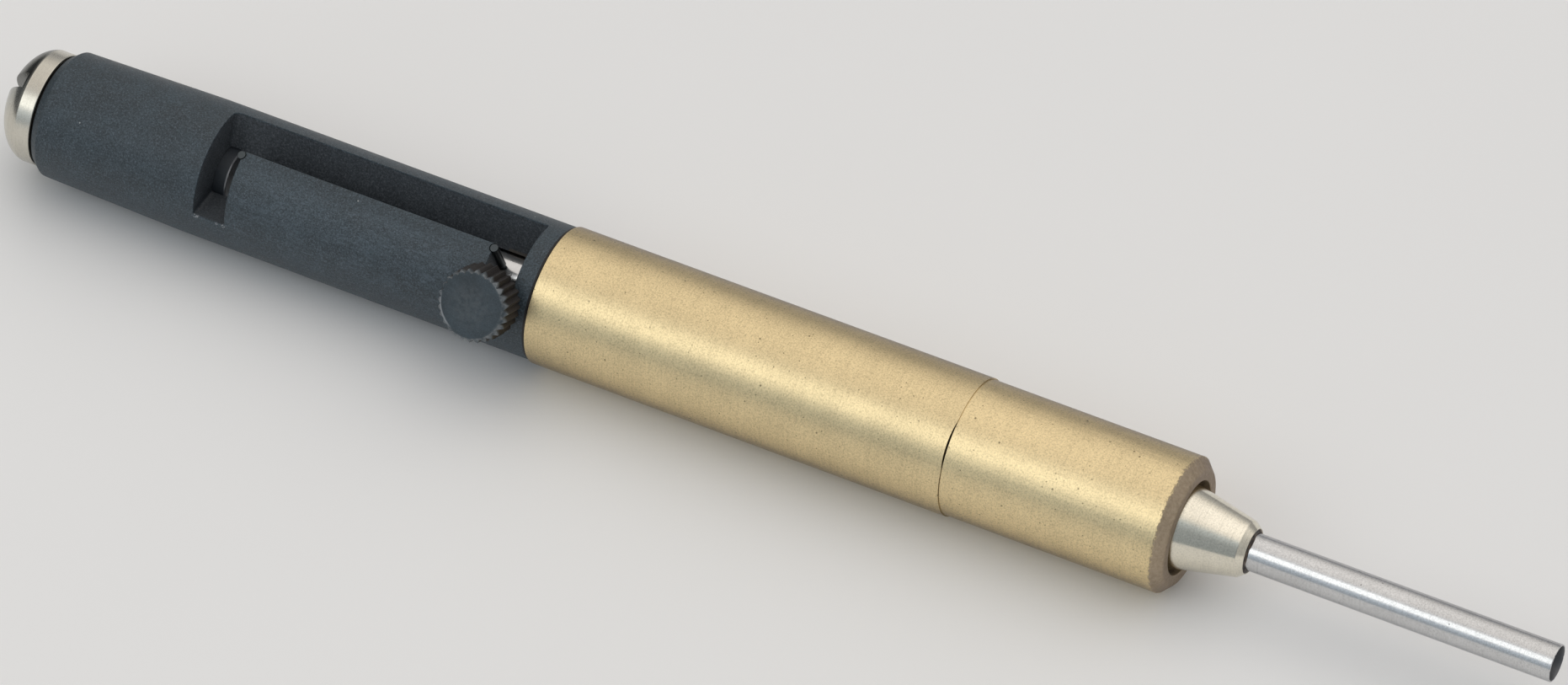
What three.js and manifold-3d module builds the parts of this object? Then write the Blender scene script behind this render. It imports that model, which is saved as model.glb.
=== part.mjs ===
// Pen-type desoldering pump with a bolt-action knob, in millimetres.
//
// The tool lies along +X with its suction tip forward and +Z up. The origin is the middle of the
// floor of the rear cap's screwdriver slot. The pump is modelled cocked: the plunger is forward,
// its spring is compressed and the knob is turned into the front notch of the housing.
//
// Angles round the tool axis are given as a lean: 0 points up (+Z) and positive turns towards -Y.

import * as THREE from 'three';
import { mergeVertices } from 'three/addons/utils/BufferGeometryUtils.js';
import Module from 'manifold-3d';

const wasm = await Module();
wasm.setup();

// ---------------------------------------------------------------- driving dimensions

const SIDES = 24;                 // facets round every turned piece
const FINE_SIDES = 16;            // facets round thin wires and pins
const CLEARANCE = 0.1;            // radial clearance between pieces that slide in each other

const HOUSING = {
  rear: 2.55, front: 66, shoulder: 61.8,
  radius: 7.3, rearRadius: 6.93, taperEnd: 20, chamferLength: 0.9, chamferDepth: 0.7,
  bore: 2.9, rearBore: 3.2, linerSeat: 24.1, spigot: 6.5, bushBore: 4.5, bushSeat: 61
};
const SLOT = { rear: 22.65, front: 59.65, upperLean: -21.4, lowerLean: 18.1 };
const NOTCH = { width: 3.7, rearEndLean: 86.6, frontEndLean: 84 };
const NOTCH_PIN = { radius: 0.44, hole: 0.5, inner: 3.05, outer: 7.25 };
const FRONT_PIN = { x: 56.04, lean: 22 };
const REAR_PIN = { x: 26.2, lean: 21.8 };

const CAP = { radius: 6.2, seat: 2.2, domeStart: 0.45, top: -2.9, shank: 3.05, shankEnd: 13.8 };
const WASHER = { radius: 5.8, bore: 3.3 };
const LINER = { rear: 14, front: 24.05, bore: 2.78 };
const BUFFER = { rear: 14.2, front: 20.7, radius: 2.55 };
const DRIVER_SLOT = { width: 1.75, lean: 22 };

const BARREL = { rear: 61.9, front: 109.45, radius: 7.5, bore: 6.6, gasketBore: 7.1, gasketSeat: 108.5 };
const NOSE = {
  rear: 103.75, shoulder: 109.6, front: 134.35,
  radius: 7.36, spigot: 6.5, bore: 5.6, lip: 126.1, lipBore: 5.1, chamferLength: 1.05, chamferDepth: 1.1
};
const GASKET_BORE = NOSE.spigot + 0.08;
const CONE = {
  rear: 123, flange: 126, flangeRadius: 5.5, base: 133, baseRadius: 4.68,
  edge: 140.65, edgeRadius: 3.04, front: 141.4, frontRadius: 2.47, tubeSeat: 124, passage: 1.4
};
const TUBE = { rear: 124.1, tip: 175, radius: 2, bore: 1.75 };
const SEAL = { length: 0.6, radius: 2.3, bore: 2.08 };
const NOZZLE_RING = { x: 122.25, coil: 4.6, wire: 0.6 };
const RETAINER = { rear: 118.5, front: 121.5, bore: 2.4 };

const ROD = { rear: 53.2, front: 98.3, radius: 2.7, studX: 57.4, tailRadius: 1.5, tailEnd: 104.4 };
const BUSH_BORE = ROD.radius + 0.15;
const PISTON = { rear: 98.5, front: 103, radius: 6.4, grooveRear: 100.2, grooveFront: 101.2, groove: 5.6 };
const PISTON_RING = { coil: 6.08, wire: 0.4 };
const SPRING_SEAT = { rear: 103.1, front: 103.65, radius: 5.3, bore: 3.1 };
const SPRING = { rear: 103.75, front: 118.35, wire: 0.45, coil: 4.55, turns: 8 };
const CLIP = { rear: 103.15, front: 103.6, radius: 2.6, bore: 1.2, gap: 35, groove: 1.1, grooveGap: 0.05 };
const PIN = { rear: 102.5, front: 168, radius: 0.7, socket: 0.85, socketDepth: 2 };

const KNOB = { lean: 61.6, back: 7.7, face: 11.65, tip: 4, root: 3.5, teeth: 28, chamfer: 0.4 };
const STUD = { radius: 0.75, inner: -1.6, outer: 2.7, hole: 0.9 };

// ---------------------------------------------------------------- materials

const finish = (color, roughness, metalness) =>
  new THREE.MeshStandardMaterial({ color, roughness, metalness });
const slateBlack = finish(0x33393e, 0.6, 0);
const satinGold = finish(0xc9ab6c, 0.35, 0.9);
const nickel = finish(0xc6c3b6, 0.28, 1);
const stainless = finish(0xb9bcc2, 0.25, 1);
const springSteel = finish(0x8f9296, 0.35, 1);
const darkSteel = finish(0x6a6b69, 0.45, 1);
const brass = finish(0xb59a54, 0.4, 1);
const rubber = finish(0x1d1d1e, 0.8, 0);
const darkWasher = finish(0x141516, 0.6, 0);
const darkLiner = finish(0x2a2c2f, 0.3, 0);
const sealant = finish(0x3a3431, 0.7, 0);

// ---------------------------------------------------------------- shape helpers

const radians = (degrees) => THREE.MathUtils.degToRad(degrees);

// A piece turned about the X axis. The profile lists [x, radius] pairs: forward along the outside,
// then back along the bore. A profile that doesn't start on the axis closes on itself.
function turned(profile, sides = SIDES) {
  const points = profile.map(([x, radius]) => new THREE.Vector2(radius, x));
  if (points[0].x > 0) points.push(points[0].clone());
  return new THREE.LatheGeometry(points, sides, Math.PI / sides).rotateZ(-Math.PI / 2);
}

// A plain ring about the X axis.
function ring(rear, front, radius, bore, sides = SIDES) {
  return turned([[rear, bore], [rear, radius], [front, radius], [front, bore]], sides);
}

// A plain solid rod about the X axis.
function rod(rear, front, radius, sides = SIDES) {
  return turned([[rear, 0], [rear, radius], [front, radius], [front, 0]], sides);
}

// An O-ring about the X axis.
function oRing(x, coilRadius, wireRadius) {
  return new THREE.TorusGeometry(coilRadius, wireRadius, 8, SIDES, 2 * Math.PI)
    .rotateY(Math.PI / 2).rotateX(Math.PI / SIDES).translate(x, 0, 0);
}

// Points of an arc from one angle to another, in radians, both ends included.
function arc(radius, from, to, steps) {
  return Array.from({ length: steps + 1 }, (_, i) => {
    const angle = from + (to - from) * i / steps;
    return new THREE.Vector2(radius * Math.cos(angle), radius * Math.sin(angle));
  });
}

// A wedge with radial flanks between two leans, along X from rear to front.
function wedge(rear, front, fromLean, toLean, reach) {
  const outline = [new THREE.Vector2(0, 0), ...arc(reach, radians(fromLean), radians(toLean), 4)];
  return new THREE.ExtrudeGeometry(new THREE.Shape(outline), { depth: front - rear, bevelEnabled: false })
    .rotateZ(Math.PI).rotateY(Math.PI / 2).translate(rear, 0, 0);
}

// A closed mesh as a solid that can be cut and joined.
function solid(geometry) {
  const bare = geometry.clone();
  bare.deleteAttribute('normal');
  bare.deleteAttribute('uv');
  const merged = mergeVertices(bare, 1e-5);
  return new wasm.Manifold(new wasm.Mesh({
    numProp: 3,
    vertProperties: new Float32Array(merged.attributes.position.array),
    triVerts: new Uint32Array(merged.index.array)
  }));
}

// A solid as a mesh again.
function surface(body) {
  const mesh = body.getMesh();
  const geometry = new THREE.BufferGeometry();
  geometry.setAttribute('position', new THREE.BufferAttribute(mesh.vertProperties, 3));
  geometry.setIndex(new THREE.BufferAttribute(mesh.triVerts, 1));
  geometry.computeVertexNormals();
  return geometry;
}

function part(name, geometry, material) {
  const mesh = new THREE.Mesh(geometry, material);
  mesh.name = name;
  return mesh;
}

// ---------------------------------------------------------------- black housing and rear end

// A round pin standing on the tool axis at a lean, between two distances from it.
function standingPin({ x, lean }, inner, outer, radius) {
  return new THREE.CylinderGeometry(radius, radius, outer - inner, SIDES)
    .rotateX(Math.PI / 2).translate(0, 0, (inner + outer) / 2).rotateX(radians(lean)).translate(x, 0, 0);
}

// Thick-walled bar with a U-shaped bolt slot: a long slot along the top and a notch at each end.
// Where the slot meets a notch, the corner has a hole for a wear pin.
function slottedHousing() {
  const h = HOUSING;
  const bar = solid(turned([
    [h.rear, h.rearBore],
    [h.rear, h.rearRadius - h.chamferDepth],
    [h.rear + h.chamferLength, h.rearRadius],
    [h.taperEnd, h.radius],
    [h.shoulder, h.radius],
    [h.shoulder, h.spigot],
    [h.front, h.spigot],
    [h.front, h.bushBore],
    [h.bushSeat, h.bushBore],
    [h.bushSeat, h.bore],
    [h.linerSeat, h.bore],
    [h.linerSeat, h.rearBore]
  ]));
  const reach = h.radius + 2;
  const middle = (SLOT.upperLean + SLOT.lowerLean) / 2;
  const cuts = [
    wedge(SLOT.rear, SLOT.front, SLOT.upperLean, SLOT.lowerLean, reach),
    wedge(SLOT.rear, SLOT.rear + NOTCH.width, middle, NOTCH.rearEndLean, reach),
    wedge(SLOT.front - NOTCH.width, SLOT.front, middle, NOTCH.frontEndLean, reach),
    standingPin(FRONT_PIN, 1, reach, NOTCH_PIN.hole),
    standingPin(REAR_PIN, 1, reach, NOTCH_PIN.hole)
  ];
  return surface(cuts.reduce((body, cut) => body.subtract(solid(cut)), bar));
}

// Slotted domed head on a shank that screws into the housing's bore.
function rearCap() {
  const c = CAP;
  const dome = arc(1, Math.PI, Math.PI / 2, 6)
    .map((p) => [c.domeStart + (c.domeStart - c.top) * p.x, c.radius * Math.max(p.y, 0)]);
  dome[0][1] = 0;
  const head = solid(turned([
    ...dome,
    [c.seat, c.radius],
    [c.seat, c.shank],
    [c.shankEnd, c.shank],
    [c.shankEnd, 0]
  ]));
  const depth = -c.top;
  const slot = new THREE.BoxGeometry(2 * depth, DRIVER_SLOT.width, 2 * c.radius + 2)
    .translate(-depth, 0, 0).rotateX(radians(DRIVER_SLOT.lean));
  return surface(head.subtract(solid(slot)));
}

const notchPin = (place) => standingPin(place, NOTCH_PIN.inner, NOTCH_PIN.outer, NOTCH_PIN.radius);

const rearEnd = [
  part('slotted_housing', slottedHousing(), slateBlack),
  part('rear_cap', rearCap(), nickel),
  part('cap_washer', ring(CAP.seat + 0.05, HOUSING.rear - 0.05, WASHER.radius, WASHER.bore), darkWasher),
  part('guide_liner', ring(LINER.rear, LINER.front, HOUSING.rearBore - CLEARANCE, LINER.bore), darkLiner),
  part('buffer_pad', rod(BUFFER.rear, BUFFER.front, BUFFER.radius), rubber),
  part('front_notch_pin', notchPin(FRONT_PIN), darkSteel),
  part('rear_notch_pin', notchPin(REAR_PIN), darkSteel)
];

// ---------------------------------------------------------------- barrel

const rodGuideBush = ring(HOUSING.bushSeat + 0.05, HOUSING.front, HOUSING.bushBore - CLEARANCE, BUSH_BORE);

const barrelTube = turned([
  [BARREL.rear, BARREL.bore],
  [BARREL.rear, BARREL.radius],
  [BARREL.front, BARREL.radius],
  [BARREL.front, BARREL.gasketBore],
  [BARREL.gasketSeat, BARREL.gasketBore],
  [BARREL.gasketSeat, BARREL.bore]
]);

const noseGasket = ring(
  BARREL.gasketSeat + 0.05, BARREL.front - 0.05, BARREL.gasketBore - CLEARANCE, GASKET_BORE
);

// The compressed main spring, an open helix with its ends just clear of both seats.
function mainSpring() {
  const stepsPerTurn = 14;
  const steps = SPRING.turns * stepsPerTurn;
  const rear = SPRING.rear + SPRING.wire;
  const length = SPRING.front - SPRING.wire - rear;
  const helix = Array.from({ length: steps + 1 }, (_, i) => {
    const angle = 2 * Math.PI * i / stepsPerTurn;
    const x = rear + length * i / steps;
    return new THREE.Vector3(x, SPRING.coil * Math.cos(angle), SPRING.coil * Math.sin(angle));
  });
  const wire = new THREE.Shape(arc(SPRING.wire, 0, 2 * Math.PI * 5 / 6, 5));
  return new THREE.ExtrudeGeometry(wire, { steps, extrudePath: new THREE.CatmullRomCurve3(helix) });
}

const barrel = [
  part('barrel', barrelTube, satinGold),
  part('rod_guide_bush', rodGuideBush, brass),
  part('nose_gasket', noseGasket, rubber),
  part('main_spring', mainSpring(), springSteel)
];

// ---------------------------------------------------------------- piston

const pistonBody = turned([
  [PISTON.rear, ROD.tailRadius + CLEARANCE],
  [PISTON.rear, PISTON.radius],
  [PISTON.grooveRear, PISTON.radius],
  [PISTON.grooveRear, PISTON.groove],
  [PISTON.grooveFront, PISTON.groove],
  [PISTON.grooveFront, PISTON.radius],
  [PISTON.front, PISTON.radius],
  [PISTON.front, ROD.tailRadius + CLEARANCE]
]);

const pistonRing = oRing((PISTON.grooveRear + PISTON.grooveFront) / 2, PISTON_RING.coil, PISTON_RING.wire);
const springSeat = ring(SPRING_SEAT.rear, SPRING_SEAT.front, SPRING_SEAT.radius, SPRING_SEAT.bore);

const piston = [
  part('piston', pistonBody, brass),
  part('piston_ring', pistonRing, rubber),
  part('spring_seat', springSeat, stainless)
];

// ---------------------------------------------------------------- bolt: rod, knob and cleaning pin

// Piston rod with a clip groove, a socket for the cleaning pin and a cross hole for the knob's stud.
function pistonRod() {
  const bar = solid(turned([
    [ROD.rear, 0],
    [ROD.rear, ROD.radius],
    [ROD.front, ROD.radius],
    [ROD.front, ROD.tailRadius],
    [CLIP.rear - CLIP.grooveGap, ROD.tailRadius],
    [CLIP.rear - CLIP.grooveGap, CLIP.groove],
    [CLIP.front + CLIP.grooveGap, CLIP.groove],
    [CLIP.front + CLIP.grooveGap, ROD.tailRadius],
    [ROD.tailEnd, ROD.tailRadius],
    [ROD.tailEnd, PIN.socket],
    [ROD.tailEnd - PIN.socketDepth, PIN.socket],
    [ROD.tailEnd - PIN.socketDepth, 0]
  ]));
  const depth = ROD.radius + 1 - STUD.inner;
  const crossHole = new THREE.CylinderGeometry(STUD.hole, STUD.hole, depth, FINE_SIDES)
    .rotateX(Math.PI / 2).translate(ROD.studX, 0, STUD.inner - 0.15 + depth / 2).rotateX(radians(KNOB.lean));
  return surface(bar.subtract(solid(crossHole)));
}

// Snap ring: a C with a gap, round the groove in the rod's tail.
function rodClip() {
  const half = radians(CLIP.gap / 2);
  const outside = arc(CLIP.radius, half, 2 * Math.PI - half, 20);
  const inside = arc(CLIP.bore, 2 * Math.PI - half, half, 20);
  const outline = new THREE.Shape([...outside, ...inside]);
  return new THREE.ExtrudeGeometry(outline, { depth: CLIP.front - CLIP.rear, bevelEnabled: false })
    .rotateY(Math.PI / 2).translate(CLIP.rear, 0, 0);
}

// Knurled thumb knob with chamfered edges, along its own +Z.
function thumbKnob() {
  const k = KNOB;
  const points = Array.from({ length: 2 * k.teeth }, (_, i) => {
    const radius = i % 2 ? k.root : k.tip;
    const angle = Math.PI * i / k.teeth;
    return new THREE.Vector2(radius * Math.cos(angle), radius * Math.sin(angle));
  });
  const height = k.face - k.back;
  const knurl = new THREE.ExtrudeGeometry(new THREE.Shape(points), { depth: height, bevelEnabled: false })
    .translate(0, 0, k.back);
  const envelope = turned([
    [k.back - 0.5, 0],
    [k.back - 0.5, k.tip - k.chamfer + 0.5],
    [k.back, k.tip - k.chamfer / 2],
    [k.back + k.chamfer / 2, k.tip + 0.01],
    [k.face - k.chamfer, k.tip + 0.01],
    [k.face, k.tip - k.chamfer],
    [k.face + 0.5, k.tip - k.chamfer],
    [k.face + 0.5, 0]
  ], 2 * SIDES).rotateY(-Math.PI / 2);
  return surface(solid(knurl).intersect(solid(envelope)));
}

const studLength = STUD.outer - STUD.inner;
const knobStud = new THREE.CylinderGeometry(STUD.radius, STUD.radius, studLength, FINE_SIDES)
  .rotateX(Math.PI / 2).translate(0, 0, STUD.inner + studLength / 2);

// The knob and its stud stand on the rod, leaning towards the front notch.
const knobGroup = new THREE.Group();
knobGroup.position.x = ROD.studX;
knobGroup.rotation.x = radians(KNOB.lean);
knobGroup.add(part('thumb_knob', thumbKnob(), slateBlack), part('knob_stud', knobStud, stainless));

const bolt = [
  part('piston_rod', pistonRod(), stainless),
  part('rod_clip', rodClip(), springSteel),
  part('cleaning_pin', rod(PIN.rear, PIN.front, PIN.radius, FINE_SIDES), stainless),
  knobGroup
];

// ---------------------------------------------------------------- nose and nozzle

const noseSleeve = turned([
  [NOSE.rear, NOSE.bore],
  [NOSE.rear, NOSE.spigot],
  [NOSE.shoulder, NOSE.spigot],
  [NOSE.shoulder, NOSE.radius],
  [NOSE.front - NOSE.chamferLength, NOSE.radius],
  [NOSE.front, NOSE.radius - NOSE.chamferDepth],
  [NOSE.front, NOSE.lipBore],
  [NOSE.lip, NOSE.lipBore],
  [NOSE.lip, NOSE.bore]
]);

// Turned cone with a rear flange, a through passage and a recess for the sealant round the tube.
const nozzleCone = turned([
  [CONE.rear, CONE.passage],
  [CONE.rear, CONE.flangeRadius],
  [CONE.flange, CONE.flangeRadius],
  [CONE.flange, CONE.baseRadius],
  [CONE.base, CONE.baseRadius],
  [CONE.edge, CONE.edgeRadius],
  [CONE.front, CONE.frontRadius],
  [CONE.front, SEAL.radius + 0.05],
  [CONE.front - SEAL.length - 0.1, SEAL.radius + 0.05],
  [CONE.front - SEAL.length - 0.1, TUBE.radius + 0.05],
  [CONE.tubeSeat, TUBE.radius + 0.05],
  [CONE.tubeSeat, CONE.passage]
]);

const nose = [
  part('nose_sleeve', noseSleeve, satinGold),
  part('nozzle_cone', nozzleCone, nickel),
  part('nozzle_tube', ring(TUBE.rear, TUBE.tip, TUBE.radius, TUBE.bore), stainless),
  part('tube_sealant', ring(CONE.front - SEAL.length, CONE.front - 0.05, SEAL.radius, SEAL.bore), sealant),
  part('nozzle_o_ring', oRing(NOZZLE_RING.x, NOZZLE_RING.coil, NOZZLE_RING.wire), rubber),
  part('nozzle_retainer', ring(RETAINER.rear, RETAINER.front, NOSE.bore - CLEARANCE, RETAINER.bore), brass)
];

// ---------------------------------------------------------------- the whole pump

const pump = new THREE.Group();
pump.name = 'desoldering_pump';
pump.add(...rearEnd, ...barrel, ...piston, ...bolt, ...nose);

export default pump;
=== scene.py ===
"""Looks for the slim desoldering pump: Blender 4.5, metres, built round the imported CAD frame.

The tool lies along +X with its suction tip forward. Shapes are worked out in millimetres and
scaled to metres when a mesh is made. A lean is an angle round the tool axis: 0 points up (+Z)
and positive turns towards -Y. Overall places and radii come from the CAD nodes' boxes.
"""

import math
import random

import bmesh
import bpy
import numpy as np
from mathutils import Matrix, Vector, noise
from mathutils.geometry import delaunay_2d_cdt


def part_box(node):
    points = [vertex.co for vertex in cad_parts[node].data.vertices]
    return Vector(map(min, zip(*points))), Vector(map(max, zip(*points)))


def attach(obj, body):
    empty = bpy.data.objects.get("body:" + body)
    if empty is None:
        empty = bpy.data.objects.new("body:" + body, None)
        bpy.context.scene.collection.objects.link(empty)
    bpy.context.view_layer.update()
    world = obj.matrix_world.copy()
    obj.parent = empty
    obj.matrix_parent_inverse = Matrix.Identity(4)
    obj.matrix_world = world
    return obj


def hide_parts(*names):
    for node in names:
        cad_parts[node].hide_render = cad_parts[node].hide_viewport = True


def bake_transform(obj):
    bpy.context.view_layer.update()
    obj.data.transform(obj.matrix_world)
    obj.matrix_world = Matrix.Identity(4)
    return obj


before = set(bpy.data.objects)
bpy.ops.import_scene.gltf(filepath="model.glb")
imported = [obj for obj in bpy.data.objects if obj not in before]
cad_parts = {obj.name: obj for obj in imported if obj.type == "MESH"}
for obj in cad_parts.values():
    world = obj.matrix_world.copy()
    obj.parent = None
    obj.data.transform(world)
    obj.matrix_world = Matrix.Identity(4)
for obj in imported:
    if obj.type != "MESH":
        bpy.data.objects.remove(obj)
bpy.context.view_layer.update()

MM = 0.001
AROUND = 128           # segments round the larger turned pieces
AROUND_SMALL = 64      # segments round the inner pieces
CAD_SIDES = 24         # facets of the CAD's turned pieces, with a flat on top


# ------------------------------------------------------------------ places from the frame

class Span:
    """Where a turned CAD node lies along the axis and its radius, in millimetres."""

    def __init__(self, node):
        low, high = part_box(node)
        self.rear, self.front = low.x / MM, high.x / MM
        self.radius = high.z / MM / math.cos(math.pi / CAD_SIDES)
        self.length = self.front - self.rear


housing, cap, washer, liner, buffer = map(Span, (
    "slotted_housing", "rear_cap", "cap_washer", "guide_liner", "buffer_pad"))
barrel, bush, gasket, spring = map(Span, ("barrel", "rod_guide_bush", "nose_gasket", "main_spring"))
piston, ring, seat, rod, clip, pin = map(Span, (
    "piston", "piston_ring", "spring_seat", "piston_rod", "rod_clip", "cleaning_pin"))
nose, cone, tube, sealant, o_ring, retainer = map(Span, (
    "nose_sleeve", "nozzle_cone", "nozzle_tube", "tube_sealant", "nozzle_o_ring", "nozzle_retainer"))

# The knob stands on the rod, leaning towards the front notch.
knob_low, knob_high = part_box("thumb_knob")
KNOB_LEAN = math.radians(61.6)
KNOB_X = (knob_low.x + knob_high.x) / 2 / MM
KNOB_ROOT, KNOB_TIP = 3.5, 4.0          # radii under and over the teeth
KNOB_FACE = 3.44                        # radius of the flat face inside the chamfer
KNOB_OFF = 0.23                         # how far the face stands off the middle of the teeth
KNOB_OFF_WAY = math.radians(149)
KNOB_BACK, KNOB_FRONT = 7.7, 11.65      # distances from the tool axis
KNOB_TEETH = 28
KNOB_CHAMFER = 0.6
STUD_RADIUS, STUD_FOOT = 0.75, -1.6

# The U-shaped bolt slot, with leans in degrees, and the two wear pins at its inner corners.
SLOT_REAR, SLOT_FRONT = 22.65, 59.65
SLOT_UPPER, SLOT_LOWER = -21.4, 18.1
NOTCH_WIDTH = 3.7
TONGUE_REAR, TONGUE_FRONT = SLOT_REAR + NOTCH_WIDTH, SLOT_FRONT - NOTCH_WIDTH
REAR_NOTCH_END, FRONT_NOTCH_END = 86.6, 84.0
PIN_RADIUS, PIN_HOLE = 0.44, 0.5
FRONT_PIN, REAR_PIN = (56.04, 22.0), (26.2, 21.8)     # x and lean

HOUSING_BORE, REAR_BORE, LINER_BORE, LINER_SEAT = 2.9, 3.2, 2.78, 24.1
HOUSING_SHOULDER = barrel.rear - 0.1
REAR_CHAMFER_LENGTH, REAR_CHAMFER_DEPTH = 0.9, 0.7
REAR_RADIUS, TAPER_END = 6.93, 20.0
CAP_SEAT, CAP_DOME, CAP_TOP, CAP_SHANK = 2.2, 0.45, -2.9, 3.05
DRIVER_SLOT_WIDTH, DRIVER_SLOT_LEAN = 1.75, math.radians(22)


# ------------------------------------------------------------------ mesh helpers

def lean_point(x, radius, lean):
    """A point at an axial place, a distance from the axis and a lean, in metres."""
    return Vector((x, -radius * math.sin(lean), radius * math.cos(lean))) * MM


def link(name, mesh):
    piece = bpy.data.objects.new(name, mesh)
    bpy.context.scene.collection.objects.link(piece)
    return piece


def finish_piece(bm, body, node, look, sharp=40):
    """Turns a bmesh into a piece that rides on a body, replaces its CAD node and has its look."""
    mesh = bpy.data.meshes.new(node + "_look")
    bmesh.ops.remove_doubles(bm, verts=bm.verts, dist=0.002 * MM)
    bmesh.ops.dissolve_degenerate(bm, dist=0.0005 * MM, edges=bm.edges)
    bmesh.ops.recalc_face_normals(bm, faces=bm.faces)
    bm.to_mesh(mesh)
    bm.free()
    mesh.shade_smooth()
    mesh.set_sharp_from_angle(angle=math.radians(sharp))
    piece = link(node + "_look", mesh)
    piece.data.materials.append(looks[look])
    if body:
        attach(piece, body)
    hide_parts(node)
    return piece


def rounded(profile, closed=True):
    """Rounds a profile's corners. Points are (x, r) or (x, r, fillet radius), in millimetres.

    A point just before and after each rounding keeps the shading of the long faces flat.
    """
    support = 0.04
    points = [(p[0], p[1], p[2] if len(p) > 2 else 0) for p in profile]
    result = []
    last = len(points) - 1
    for i, (x, r, fillet) in enumerate(points):
        here = Vector((x, r))
        if fillet == 0 or (not closed and i in (0, last)):
            result.append(here)
            continue
        before = Vector(points[i - 1][:2]) - here
        after = Vector(points[(i + 1) % len(points)][:2]) - here
        before_way, after_way = before.normalized(), after.normalized()
        angle = before_way.angle(after_way)
        reach = fillet / math.tan(angle / 2)
        start, end = here + before_way * reach, here + after_way * reach
        middle = here + (before_way + after_way).normalized() * (fillet / math.sin(angle / 2))
        turn = math.pi - angle
        steps = max(2, math.ceil(turn / math.radians(18)))
        result.append(start + before_way * min(support, (before.length - reach) / 2.5))
        ray = start - middle
        sign = 1 if before_way.x * after_way.y - before_way.y * after_way.x < 0 else -1
        for k in range(steps + 1):
            spin = Matrix.Rotation(sign * turn * k / steps, 2)
            result.append(middle + spin @ ray)
        result.append(end + after_way * min(support, (after.length - reach) / 2.5))
    return result


def join_rows(bm, one, two):
    """Faces between two closed rows of the same number of vertices; a row may be a single point."""
    count = max(len(one), len(two))
    if count == 1:
        return
    for i in range(count):
        j = (i + 1) % count
        if len(one) == 1:
            bm.faces.new((one[0], two[i], two[j]))
        elif len(two) == 1:
            bm.faces.new((one[i], two[0], one[j]))
        else:
            bm.faces.new((one[i], two[i], two[j], one[j]))


def skin(bm, rows, capped=False):
    """Faces from each row of vertices to the next, and over both ends if they are capped."""
    for one, two in zip(rows, rows[1:]):
        join_rows(bm, one, two)
    if capped:
        bm.faces.new(rows[0][::-1])
        bm.faces.new(rows[-1])


def add_turned(bm, profile, around=AROUND, closed=True, wobble=None):
    """Adds a surface turned about the tool axis. wobble(x, r, lean) may move a point by (dx, dr)."""
    rings = []
    for x, r in profile:
        if r < 1e-6:
            rings.append([bm.verts.new(lean_point(x, 0, 0))])
            continue
        row = []
        for i in range(around):
            lean = 2 * math.pi * i / around - math.pi
            dx, dr = wobble(x, r, lean) if wobble else (0, 0)
            row.append(bm.verts.new(lean_point(x + dx, r + dr, lean)))
        rings.append(row)
    skin(bm, rings)
    if closed and len(rings[0]) > 1:
        join_rows(bm, rings[-1], rings[0])


def add_open(bm, profile, around=AROUND):
    """Adds a surface turned from an open profile with rounded corners."""
    add_turned(bm, rounded(profile, closed=False), around, closed=False)


def turned_piece(node, profile, body, look, around=AROUND_SMALL, wobble=None):
    bm = bmesh.new()
    add_turned(bm, rounded(profile), around, wobble=wobble)
    return finish_piece(bm, body, node, look)


def ring_profile(span, bore, fillet):
    corners = (span.rear, bore), (span.rear, span.radius), (span.front, span.radius), (span.front, bore)
    return [(x, r, fillet) for x, r in corners]


def circle_profile(span, coil, wire):
    """The section of an O-ring."""
    x, steps = (span.rear + span.front) / 2, 16
    angles = [2 * math.pi * i / steps for i in range(steps)]
    return [(x + wire * math.cos(a), coil + wire * math.sin(a)) for a in angles]


def keep_modified(piece, sharp):
    """Applies a piece's modifiers and shades it again."""
    bpy.context.view_layer.update()
    graph = bpy.context.evaluated_depsgraph_get()
    made = bpy.data.meshes.new_from_object(piece.evaluated_get(graph))
    piece.modifiers.clear()
    piece.data = made
    made.shade_smooth()
    made.set_sharp_from_angle(angle=math.radians(sharp))


def cut(piece, cutter_bm, sharp=40):
    """Cuts a closed shape out of a piece's mesh."""
    cutter_mesh = bpy.data.meshes.new("cutter")
    bmesh.ops.recalc_face_normals(cutter_bm, faces=cutter_bm.faces)
    cutter_bm.to_mesh(cutter_mesh)
    cutter_bm.free()
    cutter = link("cutter", cutter_mesh)
    modifier = piece.modifiers.new("cut", "BOOLEAN")
    modifier.operation = "DIFFERENCE"
    modifier.solver = "EXACT"
    modifier.object = cutter
    keep_modified(piece, sharp)
    bpy.data.objects.remove(cutter)
    bpy.data.meshes.remove(cutter_mesh)


def break_edges(piece, width):
    """Rounds a piece's sharp edges slightly."""
    modifier = piece.modifiers.new("edges", "BEVEL")
    modifier.width = width * MM
    modifier.segments = 3
    modifier.limit_method = "ANGLE"
    modifier.angle_limit = math.radians(32)
    keep_modified(piece, 50)


# ------------------------------------------------------------------ node helpers

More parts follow.
